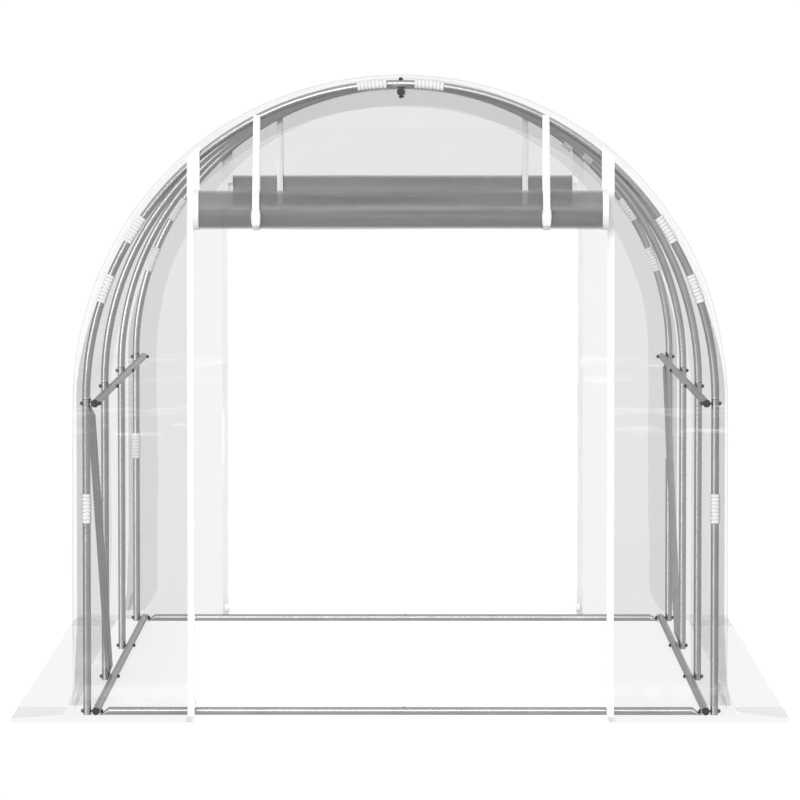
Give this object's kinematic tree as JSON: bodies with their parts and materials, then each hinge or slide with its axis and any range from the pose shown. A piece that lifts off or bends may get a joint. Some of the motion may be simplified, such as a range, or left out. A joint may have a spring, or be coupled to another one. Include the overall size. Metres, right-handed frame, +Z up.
{
  "type": "walk-in polytunnel greenhouse, 3 m long, steel hoops under clear film with roll-up doors",
  "caption": "Walk-in polytunnel greenhouse: galvanised tube hoops, purlins and ground rails under a clear film cover with a rolled-up door in each gable and a skirt on the ground.",
  "frame": {"origin": "on the ground under the middle of the tunnel", "axes": "+Y along the tunnel, from the front gable to the rear gable; +X to the right as seen from the front; +Z up"},
  "size_m": [2.433, 3.398, 2.0121],
  "materials": {
    "galvanised_steel": "galvanised tube, soft sheen",
    "clear_film": "clear polyethylene film, faint haze and creases",
    "rolled_film": "many turns of clear film, grey and half see-through",
    "white_plastic": "moulded, white",
    "white_webbing": "woven, white",
    "black_plastic": "moulded, black",
    "film_tie": "welded film strap, milky"
  },
  "bodies": {
    "root": {"film_ties": "film_tie", "front_cover_clips": "white_plastic", "front_door_roll": "rolled_film", "front_door_zips": "white_webbing", "front_ground_bar": "galvanised_steel", "front_hoop_arch": "galvanised_steel", "front_hoop_legs": "galvanised_steel", "front_left_gable_film": "clear_film", "front_right_gable_film": "clear_film", "front_roll_straps": "white_webbing", "front_skirt": "clear_film", "front_strap_buckles": "white_plastic", "front_upper_door_film": "clear_film", "ground_bar_screws": "galvanised_steel", "left_brace": "galvanised_steel", "left_frame_bolts": "black_plastic", "left_ground_rail": "galvanised_steel", "left_purlin": "galvanised_steel", "left_skirt": "clear_film", "left_wall_film": "clear_film", "rear_cover_clips": "white_plastic", "rear_door_roll": "rolled_film", "rear_door_zips": "white_webbing", "rear_ground_bar": "galvanised_steel", "rear_hoop_arch": "galvanised_steel", "rear_hoop_legs": "galvanised_steel", "rear_left_gable_film": "clear_film", "rear_right_gable_film": "clear_film", "rear_roll_straps": "white_webbing", "rear_skirt": "clear_film", "rear_strap_buckles": "white_plastic", "rear_upper_door_film": "clear_film", "ridge_bolts": "black_plastic", "ridge_purlin": "galvanised_steel", "right_brace": "galvanised_steel", "right_frame_bolts": "black_plastic", "right_ground_rail": "galvanised_steel", "right_purlin": "galvanised_steel", "right_skirt": "clear_film", "right_wall_film": "clear_film", "roof_film": "clear_film", "second_hoop_arch": "galvanised_steel", "second_hoop_legs": "galvanised_steel", "third_hoop_arch": "galvanised_steel", "third_hoop_legs": "galvanised_steel", "tube_end_caps": "black_plastic"}
  },
  "joints": []
}
